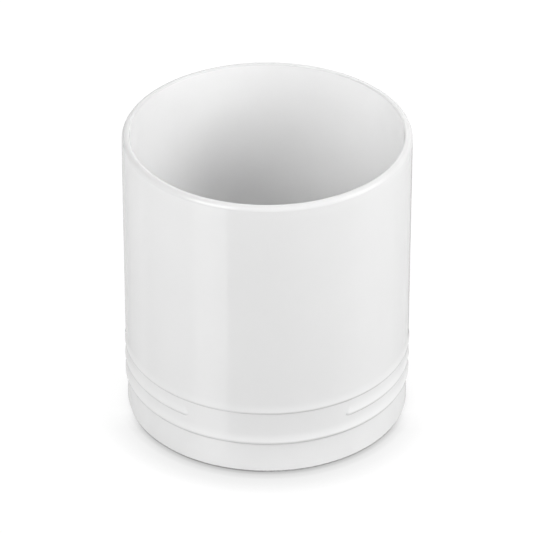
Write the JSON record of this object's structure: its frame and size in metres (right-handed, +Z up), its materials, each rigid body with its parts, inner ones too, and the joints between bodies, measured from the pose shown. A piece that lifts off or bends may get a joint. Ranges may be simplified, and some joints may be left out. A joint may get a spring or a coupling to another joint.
{
  "type": "utensil crock",
  "caption": "Straight-sided white glazed stoneware crock, open at the top, with a rounded rim, stepped rings low on the wall and a plain base band.",
  "frame": {"origin": "centre of the foot ring, on the surface that the crock stands on", "axes": "+Z up along the pot's axis to the mouth; the plain panel between the ends of the middle ring faces -Y"},
  "size_m": [0.1528, 0.1528, 0.1636],
  "materials": {
    "bare_stoneware": "fired unglazed stoneware, matt and finely sandy, off-white",
    "white_glaze": "glossy white glaze with a faint unevenness, neutral in colour"
  },
  "bodies": {
    "root": {"stoneware_body": "bare_stoneware", "glaze_coat": "white_glaze", "underside_glaze": "white_glaze"}
  },
  "joints": []
}
